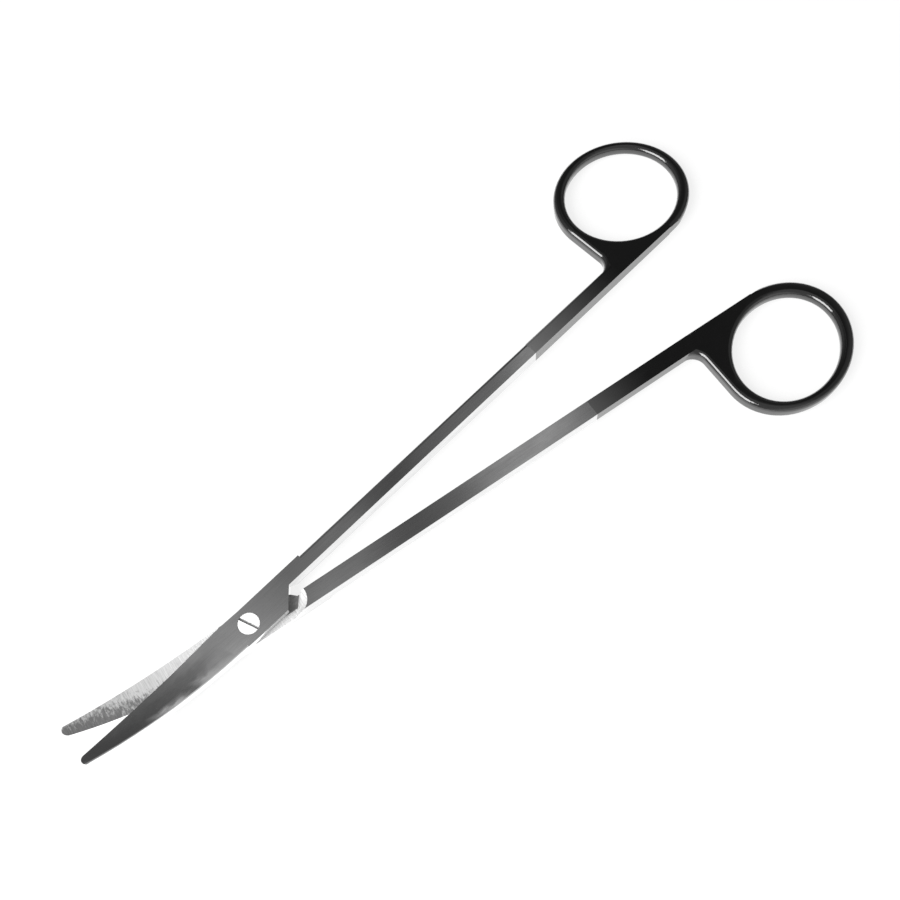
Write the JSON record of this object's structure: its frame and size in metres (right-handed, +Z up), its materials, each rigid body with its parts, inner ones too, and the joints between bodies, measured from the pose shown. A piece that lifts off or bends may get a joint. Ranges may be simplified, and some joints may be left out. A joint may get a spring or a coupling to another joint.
{
  "type": "dissecting scissors",
  "caption": "Curved dissecting scissors with black coated finger-ring handles, a slotted pivot screw and blunt blades that curve up off the table.",
  "frame": {"origin": "on the pivot axis, at the underside of the joint, where the scissors rest on a table", "axes": "+X from the pivot towards the finger rings, midway between the two halves; +Z up, along the pivot screw, towards its slotted head"},
  "size_m": [0.178, 0.0789, 0.011],
  "materials": {
    "forged_steel": "satin steel, brushed along its length, with a smooth black coating on the handles",
    "screw_steel": "bright turned steel"
  },
  "bodies": {
    "lower_body": {"lower_half": "forged_steel", "pivot_screw": "screw_steel"},
    "upper_body": {"upper_half": "forged_steel"}
  },
  "joints": [
    {"name": "pivot", "type": "hinge", "parent": "lower_body", "child": "upper_body", "pos_m": [0, 0, 0.0018], "axis": [0, 0, 1], "range_deg": [-10.6, 49.4]}
  ]
}
